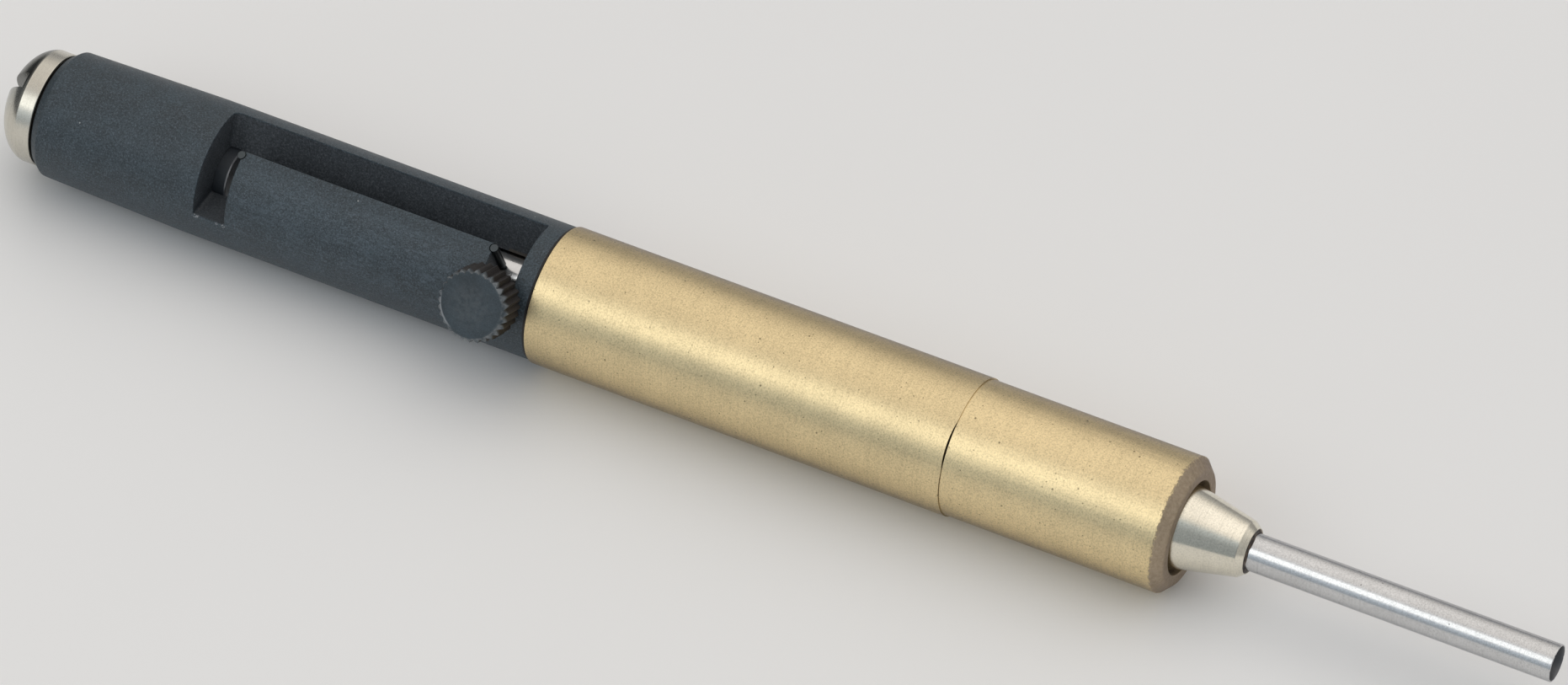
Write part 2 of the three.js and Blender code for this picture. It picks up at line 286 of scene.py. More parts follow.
class Nodes:
    """Short ways to add shader nodes to a tree."""

    def __init__(self, tree):
        self.tree = tree

    def plug(self, value, socket):
        """Feeds a socket with another socket or a plain value."""
        if isinstance(value, bpy.types.NodeSocket):
            self.tree.links.new(value, socket)
        else:
            socket.default_value = value

    def node(self, kind, *values, named=None, **settings):
        """Adds a node. values feed its inputs in order, and named feeds others by name or number."""
        made = self.tree.nodes.new(kind)
        for name, value in settings.items():
            setattr(made, name, value)
        for name, value in {**dict(enumerate(values)), **(named or {})}.items():
            self.plug(value, made.inputs[name])
        return made

    def math(self, operation, *values):
        return self.node("ShaderNodeMath", *values, operation=operation).outputs[0]

    def times(self, *factors):
        """The product of masks and numbers. A tuple stands for the ramp with those arguments."""
        first, *others = [self.ramp(*f) if isinstance(f, tuple) else f for f in factors]
        for other in others:
            first = self.math("MULTIPLY", first, other)
        return first

    def split(self, vector):
        """The x, y and z of a vector."""
        return self.node("ShaderNodeSeparateXYZ", vector).outputs

    def ramp(self, value, low, high, start=0.0, end=1.0, kind="LINEAR"):
        """start at low and end at high, straight between them unless another kind is asked for."""
        named = {"Value": value, "From Min": low, "From Max": high, "To Min": start, "To Max": end}
        return self.node("ShaderNodeMapRange", named=named, interpolation_type=kind).outputs[0]

    def blend(self, share, one, two):
        """A colour between two others."""
        one, two = (c if isinstance(c, bpy.types.NodeSocket) else (*c, 1) for c in (one, two))
        return self.node("ShaderNodeMix", share, named={6: one, 7: two}, data_type="RGBA").outputs[2]


class Look(Nodes):
    """A material with the patterns that the pieces share. Its colour is built up in layers."""

    def __init__(self, name, colour, metallic, roughness, **sockets):
        self.material = bpy.data.materials.new(name)
        self.material.use_nodes = True
        self.material.diffuse_color = (*colour, 1)
        super().__init__(self.material.node_tree)
        self.shader = self.tree.nodes["Principled BSDF"]
        self.set("Base Color", (*colour, 1))
        self.set("Metallic", metallic)
        self.set("Roughness", roughness)
        for socket, value in sockets.items():
            self.set(socket.replace("_", " "), value)
        self._place = None
        self._normal = None

    def set(self, socket, value):
        """Sets or feeds one of the shader's sockets."""
        self.plug(value, self.shader.inputs[socket])

    def two_tone(self, mask, one, two):
        """Colours the piece one where the mask is 0 and two where it is 1."""
        self.colour = self.blend(mask, one, two)
        self.set("Base Color", self.colour)

    def paint(self, mask, colour, share=1.0):
        """Lays some share of a colour over the colour so far, where the mask is 1.

        A mask may be a tuple of a ramp's arguments, as in times.
        """
        self.two_tone(self.times(mask, share) if share < 1 else self.times(mask), self.colour, colour)

    def vector(self, operation, *values, output=0):
        """A vector operation. Lengths, distances and dot products come out of output 1."""
        return self.node("ShaderNodeVectorMath", *values, operation=operation).outputs[output]

    def place(self):
        """Object coordinates in millimetres."""
        if self._place is None:
            coordinates = self.node("ShaderNodeTexCoord").outputs["Object"]
            self._place = self.vector("MULTIPLY", coordinates, (1 / MM,) * 3)
        return self._place

    def radius(self):
        """The distance from the tool axis."""
        return self.vector("LENGTH", self.vector("MULTIPLY", self.place(), (0, 1, 1)), output=1)

    def along(self, way, vector=None):
        """How far a place, or another vector, reaches along a direction."""
        return self.vector("DOT_PRODUCT", vector or self.place(), tuple(way), output=1)

    def near(self, point, size):
        """1 at a point, given in metres, and 0 from a distance of size millimetres."""
        far = self.vector("DISTANCE", self.place(), tuple(v / MM for v in point), output=1)
        return self.ramp(far, size, size * 0.5)

    def noise(self, along=1.0, across=None, detail=3.0, roughness=0.5, distortion=0.0):
        """Noise with its own scales along the tool axis and across it, per millimetre."""
        across = along if across is None else across
        place = self.vector("MULTIPLY", self.place(), (along, across, across))
        named = {"Scale": 1.0, "Detail": detail, "Roughness": roughness, "Distortion": distortion}
        return self.node("ShaderNodeTexNoise", place, named=named).outputs[0]

    def specks(self, scale, size, share):
        """1 on small round dots, one in some of the cells of a lattice, and 0 elsewhere."""
        cells = self.node("ShaderNodeTexVoronoi", self.place(), named={"Scale": scale})
        split = self.node("ShaderNodeSeparateColor", cells.outputs["Color"])
        close = self.ramp(cells.outputs["Distance"], size, size * 0.55)
        return self.times(close, self.math("LESS_THAN", split.outputs[0], share))

    def bump(self, height, distance, strength):
        """Adds relief, distance in millimetres. Later calls build on earlier ones."""
        named = {"Strength": strength, "Distance": distance * MM, "Height": height}
        if self._normal is not None:
            named["Normal"] = self._normal
        self._normal = self.node("ShaderNodeBump", named=named).outputs[0]
        self.set("Normal", self._normal)


def shade(colour, factor):
    return tuple(c * factor for c in colour)


def lean_way(degrees):
    """The direction of a lean, of length 1."""
    return lean_point(0, 1 / MM, math.radians(degrees))


# ------------------------------------------------------------------ materials

SLATE = (0.033, 0.049, 0.061)
GOLD = (0.76, 0.615, 0.36)
GOLD_EDGE = (0.32, 0.38, 0.56)     # how much of its glancing reflection the gold keeps
GOLD_FINISH = {"roughness": 0.36, "relief": 0.014, "pits": 0.8, "marks": 0.4, "grain": 0.5, "edge": GOLD_EDGE}
NICKEL = (0.7, 0.67, 0.59)
CONE_NICKEL = (0.79, 0.745, 0.63)
STEEL = (0.62, 0.62, 0.62)
SPRING_STEEL = (0.36, 0.37, 0.39)
BRASS = (0.62, 0.46, 0.18)


def slate_plastic(name, contrast=1.0):
    """Machined slate-black plastic: fine grain, cloudy wear and a little dust."""
    look = Look(name, SLATE, 0.0, 0.5, IOR=1.5)
    cloud = look.noise(0.3, detail=5, roughness=0.65, distortion=0.6)
    look.grain = look.noise(5.2, detail=4, roughness=0.8)
    look.two_tone(look.ramp(cloud, 0.35, 0.68), shade(SLATE, 0.78), shade(SLATE, 1.3))
    look.paint((look.grain, 0.48, 0.33, 0.0, contrast), shade(SLATE, 0.3))
    look.paint((look.grain, 0.52, 0.68, 0.0, contrast), (0.1, 0.13, 0.158))
    look.paint(look.specks(0.4, 0.04, 0.2), (0.5, 0.52, 0.53), 0.7)
    look.set("Roughness", look.ramp(cloud, 0.3, 0.7, 0.43, 0.56))
    look.bump(look.grain, 0.05, 0.7)
    return look


def housing_plastic():
    """The bar's plastic, scuffed on the tongue and duller in the milled slot."""
    look = slate_plastic("slate_plastic_housing")
    x, y, z = look.split(look.place())
    radius = look.radius()

    # Wavy scuffs on the tongue's side, and a band all along that the hand has rubbed light.
    tongue = look.times(
        (x, TONGUE_REAR - 0.85, TONGUE_REAR + 1.65),
        (x, TONGUE_FRONT + 1.05, TONGUE_FRONT - 3.95),
    )
    waves = look.noise(0.55, 1.7, detail=5, roughness=0.65, distortion=1.6)
    scuffs = look.times((waves, 0.5, 0.68), tongue, (y, -3.0, -4.4), (z, -3.0, 0.0))
    look.paint(scuffs, (0.1, 0.135, 0.17), 0.4)
    rubbed = look.ramp(look.along(lean_way(46)), housing.radius - 0.45, housing.radius - 0.15)
    dots = look.ramp(look.noise(5.0, 8.0, detail=5, roughness=0.85), 0.52, 0.64)
    look.paint(look.times(rubbed, (tongue, 0.0, 1.0, 0.35, 1.0), dots), (0.15, 0.19, 0.225), 0.6)

    # The slot's milled faces, and the rear notch's darker end.
    milled = look.times(
        (radius, housing.radius - 0.12, housing.radius - 0.2),
        (x, SLOT_REAR - 0.25, SLOT_REAR - 0.15),
    )
    look.paint(milled, (0.052, 0.059, 0.068), 0.75)
    look.paint(look.times(milled, (look.grain, 0.49, 0.36, 0.0, 0.8)), (0.018, 0.02, 0.023))
    look.paint(look.times(milled, (look.grain, 0.52, 0.65, 0.0, 0.8)), (0.12, 0.13, 0.145))
    polished = look.times(
        (x, LINER_SEAT, LINER_SEAT + 0.2),
        (x, TONGUE_REAR + 0.35, TONGUE_REAR - 0.05),
        (radius, HOUSING_BORE + 0.3, HOUSING_BORE + 0.1),
    )
    look.paint(polished, (0.4, 0.41, 0.43), 0.8)
    notch_end = look.times(milled, (z, 1.5, 1.0), (x, TONGUE_REAR + 1.65, TONGUE_REAR + 0.65))
    look.paint(notch_end, (0.012, 0.018, 0.024), 0.45)
    lip = look.times(
        (radius, HOUSING_BORE + 0.4, HOUSING_BORE + 0.25),
        (x, TONGUE_FRONT - 0.35, TONGUE_FRONT - 0.2),
    )
    look.paint(lip, (0.11, 0.09, 0.07), 0.6)

    # The dark joint against the barrel, the wear pins' seats and bright specks of burr on the notch's edge.
    look.paint((x, HOUSING_SHOULDER - 0.27, HOUSING_SHOULDER - 0.22), (0.004, 0.002, 0.001))
    for pin_x, lean in (FRONT_PIN, REAR_PIN):
        place = lean_point(pin_x, housing.radius, math.radians(lean))
        look.paint(look.near(place, 0.72), shade(SLATE, 0.3), 0.7)
    burr = look.ramp(look.noise(4.0, detail=2), 0.45, 0.55)
    for burr_x, size in ((22.9, 0.3), (23.3, 0.22), (25.5, 0.2), (26.3, 0.3)):
        place = lean_point(burr_x, housing.radius, math.radians(REAR_NOTCH_END + 0.6))
        look.paint(look.times(look.near(place, size), burr), (0.3, 0.32, 0.34))
    return look


def knob_way(angle):
    """The direction at an angle round the knob's own axis."""
    return Matrix.Rotation(KNOB_LEAN, 3, "X") @ Vector((math.cos(angle), math.sin(angle), 0))


def knob_plastic():
    """The knob's plastic: a dark brown knurled side, worn teeth and a light burr on one side of the face."""
    look = slate_plastic("slate_plastic_knob", 0.3)
    way = lean_point(0, 1 / MM, KNOB_LEAN)
    height = look.along(way)
    look.paint((height, KNOB_FRONT - 0.4, KNOB_FRONT - 0.9), (0.016, 0.013, 0.012))
    worn = look.times(
        (height, KNOB_FRONT - 0.85, KNOB_FRONT - 0.3),
        (height, KNOB_FRONT - 0.01, KNOB_FRONT - 0.06),
        (look.noise(1.6, detail=4), 0.35, 0.6),
    )
    look.paint(worn, (0.2, 0.215, 0.225), 0.8)
    face_middle = way * KNOB_FRONT + Vector((KNOB_X, 0, 0)) + knob_way(KNOB_OFF_WAY) * KNOB_OFF
    from_middle = look.vector("SUBTRACT", look.place(), tuple(face_middle))
    out = look.vector("LENGTH", from_middle, output=1)
    burr = look.times(
        (out, KNOB_FACE - 0.2, KNOB_FACE - 0.1),
        (out, KNOB_FACE + 0.12, KNOB_FACE),
        (look.along(knob_way(math.radians(208)), from_middle), 2.7, 3.2),
        (height, KNOB_FRONT - 0.3, KNOB_FRONT - 0.2),
    )
    look.paint(burr, (0.38, 0.4, 0.42), 0.6)
    return look


def turned_metal(name, colour, roughness, relief, pits=0.0, marks=0.3, grain=0.0, edge=(1.0, 1.0, 1.0)):
    """Metal with fine marks round the axis, cloudy tone and, if asked, grain and small dark pits."""
    look = Look(name, colour, 1.0, roughness, Specular_Tint=(*edge, 1))
    cloud = look.noise(0.25, detail=4, roughness=0.6)
    fine = look.noise(8.0, 0.2, detail=4, roughness=0.75)
    coarse = look.noise(2.2, 0.08, detail=3, roughness=0.7)
    look.two_tone(look.ramp(cloud, 0.35, 0.65), shade(colour, 0.96), shade(colour, 1.05))
    look.paint((fine, 0.5, 0.72, 0.0, marks), shade(colour, 0.66))
    look.paint((coarse, 0.5, 0.7, 0.0, marks * 0.4), shade(colour, 0.75))
    if grain:
        speckle = look.noise(5.5, detail=4, roughness=0.8)
        look.paint((speckle, 0.5, 0.36, 0.0, grain), shade(colour, 0.45))
        look.paint((speckle, 0.5, 0.64, 0.0, grain), shade(colour, 1.25))
    if pits:
        dots = look.math("MAXIMUM", look.specks(0.5, 0.07, pits), look.specks(1.1, 0.1, pits))
        look.paint(dots, shade(colour, 0.15), 0.75)
    look.set("Roughness", look.ramp(fine, 0.3, 0.7, roughness * 0.85, roughness * 1.15))
    look.bump(fine, relief, 0.5)
    look.bump(coarse, relief * 1.5, 0.3)
    return look


def worn_nose():
    """The barrel's gold, turning brown and dull on the chamfer and the front ring."""
    look = turned_metal("satin_gold_nose", shade(GOLD, 1.05), **GOLD_FINISH)
    x = look.split(look.place())[0]
    uneven = look.noise(3.2, detail=6, roughness=0.8)
    edge = nose.front - 1.12
    worn = look.ramp(look.math("ADD", x, look.times(uneven, 1.5)), edge + 0.74, edge + 0.8)
    patches = look.noise(2.5, detail=5, roughness=0.7)
    look.paint(worn, look.blend(look.ramp(patches, 0.3, 0.7), (0.36, 0.285, 0.2), (0.52, 0.425, 0.315)))
    look.set("Roughness", look.ramp(worn, 0.0, 1.0, GOLD_FINISH["roughness"], 0.55))
    look.bump(look.times(patches, worn), 0.08, 0.7)
    return look


def drawn_tube():
    """Drawn stainless steel, sooty inside."""
    look = turned_metal(
        "drawn_stainless", STEEL, 0.2, 0.006, pits=0.15, marks=0.35, grain=0.35, edge=(0.7, 0.7, 0.72))
    inside = look.ramp(look.radius(), tube.radius - 0.1, tube.radius - 0.16)
    look.paint(inside, (0.2, 0.205, 0.215))
    look.set("Roughness", look.ramp(inside, 0.0, 1.0, 0.2, 0.6))
    return look


def tarnished_cap():
    """Soft nickel, darker in the driver slot, and with a tarnished dome that is darkest above the slot."""
    look = turned_metal("soft_nickel_cap", shade(NICKEL, 0.9), 0.26, 0.006, marks=0.2, grain=0.2)
    x = look.split(look.place())[0]
    across = look.along((0, math.cos(DRIVER_SLOT_LEAN), math.sin(DRIVER_SLOT_LEAN)))
    from_slot = look.math("ABSOLUTE", across)
    rubbed = look.times((from_slot, 2.6, 1.4), (x, CAP_DOME, CAP_DOME + 0.15))
    look.paint(rubbed, (0.25, 0.235, 0.21), 0.28)
    dome = look.ramp(x, CAP_DOME + 0.1, CAP_DOME - 0.3)
    look.paint(look.times(dome, (across, -3.8, -1.0)), (0.24, 0.27, 0.29), 0.5)
    look.paint(look.times(dome, (across, -0.4, 0.6)), (0.09, 0.09, 0.08), 0.85)
    in_slot = look.ramp(from_slot, DRIVER_SLOT_WIDTH / 2 + 0.065, DRIVER_SLOT_WIDTH / 2 - 0.015)
    look.paint(look.times(in_slot, (x, 0.25, 0.0)), (0.12, 0.12, 0.11), 0.7)
    return look


def grainy(name, base, dark, light, scale, relief, metallic=0.0, dullness=0.7, limits=(0.0, 1.0), **grain):
    """A plain material whose two tones and relief follow one grain."""
    look = Look(name, base, metallic, dullness)
    pattern = look.noise(scale, **grain)
    look.two_tone(look.ramp(pattern, *limits), dark, light)
    look.bump(pattern, *relief)
    return look


def rubber(name, tone):
    return grainy(name, (tone,) * 3, (tone * 0.7,) * 3, (tone * 1.5,) * 3, 6.0, (0.02, 0.5), detail=4)


def liner_polymer():
    """Black sleeve, which the rod has worn light in its bore and on the rim below the slot."""
    look = Look("worn_black_liner", (0.014, 0.016, 0.018), 0.0, 0.45, IOR=1.5)
    bore = look.ramp(look.radius(), LINER_BORE + 0.1, LINER_BORE + 0.03)
    look.two_tone(bore, (0.022, 0.028, 0.035), (0.42, 0.44, 0.46))
    rim = look.times(
        (look.split(look.place())[0], liner.front - 0.14, liner.front - 0.1),
        (look.radius(), 3.12, 3.04),
        (look.along(lean_way(48)), 2.68, 2.94, 0.25, 1.0),
    )
    look.paint(rim, (0.6, 0.62, 0.65))
    look.set("Roughness", look.ramp(rim, 0.0, 1.0, 0.55, 0.35))
    look.bump(look.noise(4.0, detail=3), 0.02, 0.5)
    return look


def sealant_look():
    return grainy(
        "cured_sealant", (0.035, 0.028, 0.024), (0.016, 0.013, 0.012), (0.12, 0.085, 0.06), 1.8,
        (0.2, 0.8), dullness=0.45, limits=(0.4, 0.65), detail=5)


def dark_steel():
    return grainy(
        "dull_dark_steel", (0.085, 0.085, 0.083), (0.055, 0.066, 0.072), (0.1, 0.112, 0.118), 4.0,
        (0.03, 0.5), metallic=1.0, dullness=0.42, detail=4, roughness=0.7)


looks = {slot: look.material for slot, look in {
    "black_housing": housing_plastic(),
    "black_knob": knob_plastic(),
    "satin_gold_barrel": turned_metal("satin_gold_barrel", GOLD, **GOLD_FINISH),
    "satin_gold_nose": worn_nose(),
    "nickel_cap": tarnished_cap(),
    "nickel_cone": turned_metal("turned_nickel_cone", CONE_NICKEL, 0.16, 0.014, marks=0.5, grain=0.3),
    "stainless_tube": drawn_tube(),
    "stainless_steel": turned_metal("ground_stainless", STEEL, 0.18, 0.008, marks=0.15),
    "spring_steel": turned_metal("spring_wire", SPRING_STEEL, 0.3, 0.01),
    "dark_steel": dark_steel(),
    "brass": turned_metal("turned_brass", BRASS, 0.28, 0.02),
    "black_rubber": rubber("nitrile_rubber", 0.018),
    "dark_washer": rubber("washer_black", 0.012),
    "dark_liner": liner_polymer(),
    "tube_sealant": sealant_look(),
}.items()}


# ------------------------------------------------------------------ slotted housing

SLOT_RADIUS = housing.radius
UNROLL = math.radians(1) * SLOT_RADIUS     # distance round the surface for a degree of lean
EDGE_BREAK = 0.07                          # rounding of the slot's outer edge
LIP = 0.25                                 # chamfer where the tongue's front face meets the bore


def housing_radius(x):
    """The bar tapers slightly towards its rear end."""
    if x >= TAPER_END:
        return SLOT_RADIUS
    start = housing.rear + REAR_CHAMFER_LENGTH
    return REAR_RADIUS + (SLOT_RADIUS - REAR_RADIUS) * (x - start) / (TAPER_END - start)


def bore_radius(x):
    return REAR_BORE if x < LINER_SEAT - 0.03 else HOUSING_BORE


def round_corner(before, here, after, radius, side, grow):
    """Points round a corner that sticks out (side 1) or points in (side -1), moved out by grow."""
    back = (before - here).normalized()
    on = (after - here).normalized()
    moved = here - (back + on) * grow * side
    curve = max(radius + grow * side, 0.02)
    centre = moved + (back + on) * curve
    points = []
    for k in range(7):
        angle = math.pi / 2 * k / 6
        points.append(centre - on * curve * math.cos(angle) - back * curve * math.sin(angle))
    return points


def pin_corner(pin, edge_x, way, grow):
    """Points round the hole of a wear pin, from the notch's edge to the long slot's edge.

    way is 1 where the notch lies ahead of the pin and -1 where it lies behind it.
    """
    middle = Vector((pin[0], pin[1] * UNROLL))
    radius = PIN_HOLE + grow
    notch_side = math.acos(way * (edge_x - way * grow - middle.x) / radius)
    slot_side = -math.asin(min(1.0, (middle.y - SLOT_LOWER * UNROLL - grow) / radius))
    if slot_side > -math.pi / 2:
        slot_side = -math.pi - slot_side
    points = []
    for k in range(19):
        angle = 2 * math.pi + slot_side + (notch_side - 2 * math.pi - slot_side) * k / 18
        points.append(middle + Vector((way * math.cos(angle), math.sin(angle))) * radius)
    return points if way > 0 else points[::-1]


def slot_outline(grow, lip=0.0):
    """The slot's outline, unrolled: (x, distance round the surface), grown outwards by some millimetres.

    Every outline has the same number of points, so that two of them can be joined by a wall.
    lip moves the tongue's front edge back.
    """
    rear_edge, front_edge = TONGUE_REAR, TONGUE_FRONT - lip
    corners = [  # x, lean, corner radius
        (SLOT_REAR, SLOT_UPPER, 0.75), (SLOT_REAR, REAR_NOTCH_END, 0.35),
        (rear_edge, REAR_NOTCH_END, 0.3), (rear_edge, SLOT_LOWER, None),
        (front_edge, SLOT_LOWER, None), (front_edge, FRONT_NOTCH_END, 0.4),
        (SLOT_FRONT, FRONT_NOTCH_END, 0.4), (SLOT_FRONT, SLOT_UPPER, 0.3),
    ]
    count = len(corners)
    flat = [Vector((x, lean * UNROLL)) for x, lean, _ in corners]
    ends = []
    for i, (x, _, radius) in enumerate(corners):
        if radius is not None:
            ends.append(round_corner(flat[i - 1], flat[i], flat[(i + 1) % count], radius, 1, grow))
        elif x == rear_edge:
            ends.append(pin_corner(REAR_PIN, rear_edge, -1, grow))
        else:
            ends.append(pin_corner(FRONT_PIN, front_edge, 1, grow))
    outline = []
    for i in range(count):
        outline += ends[i]
        start, stop = ends[i][-1], ends[(i + 1) % count][0]
        rest = flat[(i + 1) % count] - flat[i]
        pieces = max(2, round(rest.length / 0.4))
        outline += [start.lerp(stop, k / pieces) for k in range(1, pieces)]
    return outline


def inside(points, outline):
    """Which points lie inside a closed outline, by counting crossings."""
    px, py = points[:, 0][:, None], points[:, 1][:, None]
    ax, ay = outline[:, 0][None], outline[:, 1][None]
    bx, by = np.roll(outline[:, 0], -1)[None], np.roll(outline[:, 1], -1)[None]
    crosses = (ay > py) != (by > py)
    with np.errstate(divide="ignore", invalid="ignore"):
        at = ax + (py - ay) * (bx - ax) / (by - ay)
    return (crosses & (px < at)).sum(1) % 2 == 1


def nearest(points, outline):
    """How far each point is from the outline's points."""
    return np.sqrt(((points[:, None] - outline[None]) ** 2).sum(2)).min(1)


def pierced_sheet(bm, columns, around, outline, keep_off, place):
    """A sheet wrapped round the axis with the slot cut out of it. place(x, distance) gives a vertex."""
    half_turn = math.pi * SLOT_RADIUS
    grid = np.array([(x, half_turn * (2 * j / around - 1)) for x in columns for j in range(around + 1)])
    edge = np.array([tuple(p) for p in outline])
    on_rim = (grid[:, 0] == grid[0, 0]) | (grid[:, 0] == grid[-1, 0])
    free = on_rim | (~inside(grid, edge) & (nearest(grid, edge) > keep_off))
    points = [Vector(p) for p in grid[free]]
    first = len(points)
    points += [Vector(p) for p in edge]
    loop = [(first + i, first + (i + 1) % len(edge)) for i in range(len(edge))]
    flat, _, faces, _, _, _ = delaunay_2d_cdt(points, loop, [], 0, 1e-7, False)
    centres = np.array([tuple(sum((flat[i] for i in face), Vector((0, 0))) / 3) for face in faces])
    hole = inside(centres, edge)
    verts = [bm.verts.new(place(p.x, p.y)) for p in flat]
    for face, dropped in zip(faces, hole):
        if not dropped:
            bm.faces.new([verts[i] for i in face])


def spread(start, stop, step):
    """Evenly spaced numbers from start to stop, both included."""
    count = round((stop - start) / step)
    return [start + (stop - start) * i / count for i in range(count + 1)]


def build_housing():
    bm = bmesh.new()
    sheet_rear, sheet_front = 4.2, HOUSING_SHOULDER - 0.3

    def outside(x, along, sink=0.0):
        return lean_point(x, housing_radius(x) - sink, along / SLOT_RADIUS)

    def bore(x, along):
        return lean_point(x, bore_radius(x), along / SLOT_RADIUS)

    # The outer sheet and the bore's sheet, with its step where the liner ends.
    support = slot_outline(EDGE_BREAK + 0.1)
    inner, mouth = slot_outline(0.0), slot_outline(0.0, LIP)
    pierced_sheet(bm, spread(sheet_rear, sheet_front, 1.0), AROUND, support, 0.16, outside)
    seat_step = [LINER_SEAT - 0.05, LINER_SEAT]
    bore_columns = spread(sheet_rear, 22, 2.2) + seat_step + spread(26, sheet_front, 2.5)
    pierced_sheet(bm, bore_columns, AROUND, mouth, 0.12, bore)

    # The flanks: from the outer sheet over a rounded edge and straight down to the bore.
    levels = [(support, 0.0), (slot_outline(EDGE_BREAK), 0.0)]
    for k in range(1, 5):
        turn = math.pi / 2 * k / 4
        levels.append((slot_outline(EDGE_BREAK * (1 - math.sin(turn))), EDGE_BREAK * (1 - math.cos(turn))))
    levels.append((inner, EDGE_BREAK + 0.08))
    rows = [[bm.verts.new(outside(p.x, p.y, sink)) for p in line] for line, sink in levels]
    for share in (0.35, 0.7, 1.0):
        row = []
        for p in inner:
            radius = SLOT_RADIUS + (bore_radius(p.x) + LIP - SLOT_RADIUS) * share
            row.append(bm.verts.new(lean_point(p.x, radius, p.y / SLOT_RADIUS)))
        rows.append(row)
    rows.append([bm.verts.new(bore(p.x, p.y)) for p in mouth])
    skin(bm, rows)

    # The rear end with its chamfer, and the spigot that screws into the barrel.
    r = housing.rear
    add_open(bm, [
        (sheet_rear, REAR_BORE),
        (r, REAR_BORE, 0.15), (r, REAR_RADIUS - REAR_CHAMFER_DEPTH, 0.12),
        (r + REAR_CHAMFER_LENGTH, REAR_RADIUS, 0.12),
        (sheet_rear, housing_radius(sheet_rear)),
    ])
    spigot, bush_bore, bush_seat = BARREL_BORE - 0.1, bush.radius + 0.1, bush.rear - 0.05
    add_open(bm, [
        (sheet_front, SLOT_RADIUS),
        (HOUSING_SHOULDER, SLOT_RADIUS, 0.04), (HOUSING_SHOULDER, spigot, 0.05),
        (housing.front, spigot, 0.15), (housing.front, bush_bore, 0.1),
        (bush_seat, bush_bore), (bush_seat, HOUSING_BORE, 0.1),
        (sheet_front, HOUSING_BORE),
    ])
    finish_piece(bm, "body", "slotted_housing", "black_housing", sharp=35)


def standing_pin(radius, foot, top, fillets):
    """A round pin along +Z, from one height to another, with its two edges rounded."""
    bm = bmesh.new()
    add_open(bm, [(foot, 0), (foot, radius, fillets[0]), (top, radius, fillets[1]), (top, 0)], 32)
    bm.transform(Matrix.Rotation(-math.pi / 2, 4, "Y"))
    return bm


def build_notch_pins():
    """Dowels through the wall at the tongue's corners, flush with the outside."""
    for node, (x, lean) in (("front_notch_pin", FRONT_PIN), ("rear_notch_pin", REAR_PIN)):
        bm = standing_pin(PIN_RADIUS, HOUSING_BORE + 0.15, SLOT_RADIUS + 0.01, (0.05, 0.05))
        bm.transform(Matrix.Translation((x * MM, 0, 0)) @ Matrix.Rotation(math.radians(lean), 4, "X"))
        finish_piece(bm, "body", node, "dark_steel")


# ------------------------------------------------------------------ rear cap

def build_cap():
    """A domed head with a crease round it, a screwdriver slot across it and a shank."""
    steepest, steps = math.radians(83), 24
    dome = []
    for k in range(steps + 1):
        turn = steepest * k / steps
        height = (math.cos(turn) - math.cos(steepest)) / (1 - math.cos(steepest))
        radius = cap.radius * math.sin(turn) / math.sin(steepest)
        dome.append((CAP_DOME - (CAP_DOME - CAP_TOP) * height, radius))
    bm = bmesh.new()
    side = rounded([
        dome[-2],
        (*dome[-1], 0.12),
        (CAP_SEAT, cap.radius, 0.12), (CAP_SEAT, CAP_SHANK, 0.1),
        (cap.front, CAP_SHANK, 0.4), (cap.front, 0),
    ], closed=False)
    add_turned(bm, dome[:-2] + side, closed=False)
    piece = finish_piece(bm, "body", "rear_cap", "nickel_cap", sharp=35)
    cutter = bmesh.new()
    bmesh.ops.create_cube(cutter, size=MM)
    depth = -2 * CAP_TOP
    cutter.transform(Matrix.Diagonal((depth, DRIVER_SLOT_WIDTH, 4 * cap.radius, 1)))
    cutter.transform(Matrix.Rotation(DRIVER_SLOT_LEAN, 4, "X") @ Matrix.Translation((-depth / 2 * MM, 0, 0)))
    cut(piece, cutter, 35)
    break_edges(piece, 0.09)


# ------------------------------------------------------------------ knob and stud

def knob_frame():
    """Turns the knob's own +Z to its lean and puts it on the rod."""
    return Matrix.Translation(Vector((KNOB_X * MM, 0, 0))) @ Matrix.Rotation(KNOB_LEAN, 4, "X")


